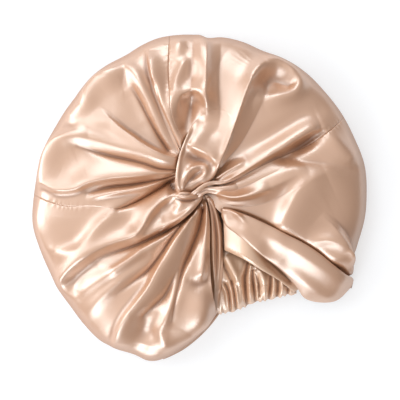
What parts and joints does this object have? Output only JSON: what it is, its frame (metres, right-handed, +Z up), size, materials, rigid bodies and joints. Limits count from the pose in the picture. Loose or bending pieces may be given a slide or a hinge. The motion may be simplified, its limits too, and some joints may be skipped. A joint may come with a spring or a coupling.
{
  "type": "sleep bonnet",
  "caption": "Puffed satin sleep bonnet lying flat, its folds gathered into a twisted knot, with an open mouth, a rolled front band and a ruched elastic nape edge.",
  "frame": {"origin": "middle of the bonnet's plan box, on the surface that it lies on", "axes": "+Z up from the surface, +X towards the right tip of the front band, +Y away from the mouth"},
  "size_m": [0.3334, 0.326, 0.0634],
  "materials": {
    "satin": "champagne rose-gold satin, smooth, with a broad soft sheen",
    "satin_inside": "the same satin, in shade and gathered"
  },
  "bodies": {
    "root": {"crown_right": "satin", "crown_upper_right": "satin", "crown_upper_left": "satin", "crown_lower_left": "satin", "crown_back": "satin", "twist_upper_leaf": "satin", "twist_lower_leaf": "satin", "knot_strand_upper": "satin", "knot_strand_lower": "satin", "front_band_left": "satin", "front_band_outer": "satin", "front_band_hem": "satin_inside", "elastic_casing": "satin_inside"}
  },
  "joints": []
}
